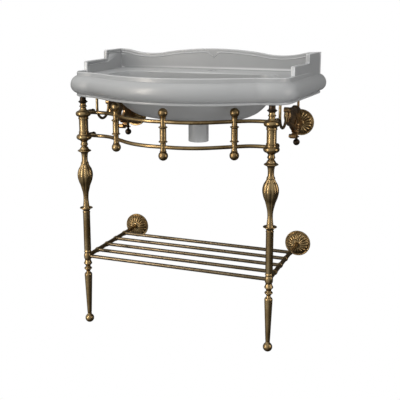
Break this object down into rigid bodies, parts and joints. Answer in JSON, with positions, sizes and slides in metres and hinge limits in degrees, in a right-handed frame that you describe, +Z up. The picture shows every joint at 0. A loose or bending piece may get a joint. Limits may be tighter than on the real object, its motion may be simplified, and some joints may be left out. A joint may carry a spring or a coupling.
{
  "type": "console sink with legs",
  "caption": "Ceramic console basin with a bowed front, rounded rim, upstand and stepped wings, on turned brass front legs with towel rails, a rod shelf and scroll wall brackets.",
  "frame": {"origin": "on the floor, under the middle of the assembly's box", "axes": "+Z up, +Y towards the wall that carries the back, +X to the right of someone facing the wall"},
  "size_m": [0.802, 0.532, 0.925],
  "materials": {
    "ceramic": "grey glaze, satin gloss",
    "brass": "antique brass, lacquered",
    "bronze": "dark bronzed brass",
    "steel": "zinc-plated steel"
  },
  "bodies": {
    "stand": {"tapered_leg_left": "brass", "lower_knop_left": "brass", "shelf_hub_left": "brass", "lower_tube_left": "brass", "saucer_left": "brass", "vase_left": "brass", "spindle_left": "brass", "lower_collar_left": "brass", "column_left": "brass", "upper_collar_left": "brass", "leg_neck_left": "brass", "leg_cap_left": "bronze", "tie_rod_left": "steel", "rail_knobs_left": "bronze", "tapered_leg_right": "brass", "lower_knop_right": "brass", "shelf_hub_right": "brass", "lower_tube_right": "brass", "saucer_right": "brass", "vase_right": "brass", "spindle_right": "brass", "lower_collar_right": "brass", "column_right": "brass", "upper_collar_right": "brass", "leg_neck_right": "brass", "leg_cap_right": "bronze", "tie_rod_right": "steel", "rail_knobs_right": "bronze", "lower_rail": "brass", "upper_rail": "brass", "peg_stem_left": "brass", "peg_balls_left": "brass", "peg_stem_middle": "brass", "peg_balls_middle": "brass", "peg_stem_right": "brass", "peg_balls_right": "brass", "shelf_rod_1": "brass", "shelf_rod_2": "brass", "shelf_rod_3": "brass", "shelf_rod_4": "brass", "shelf_rod_5": "brass", "shelf_arm_left": "brass", "upper_rose_left": "brass", "lower_rose_left": "brass", "bracket_left": "brass", "tendril_left": "brass", "drop_finial_left": "bronze", "shelf_arm_right": "brass", "upper_rose_right": "brass", "lower_rose_right": "brass", "bracket_right": "brass", "tendril_right": "brass", "drop_finial_right": "bronze", "upper_flanges": "steel", "lower_flanges": "steel", "basin": "ceramic"},
    "foot_left": {"ball_foot_left": "brass"},
    "foot_right": {"ball_foot_right": "brass"}
  },
  "joints": [
    {"name": "foot_left_level", "type": "slide", "parent": "stand", "child": "foot_left", "axis": [0, 0, 1], "range_m": [-0.01, 0.001]},
    {"name": "foot_right_level", "type": "slide", "parent": "stand", "child": "foot_right", "axis": [0, 0, 1], "range_m": [-0.01, 0.001]}
  ]
}
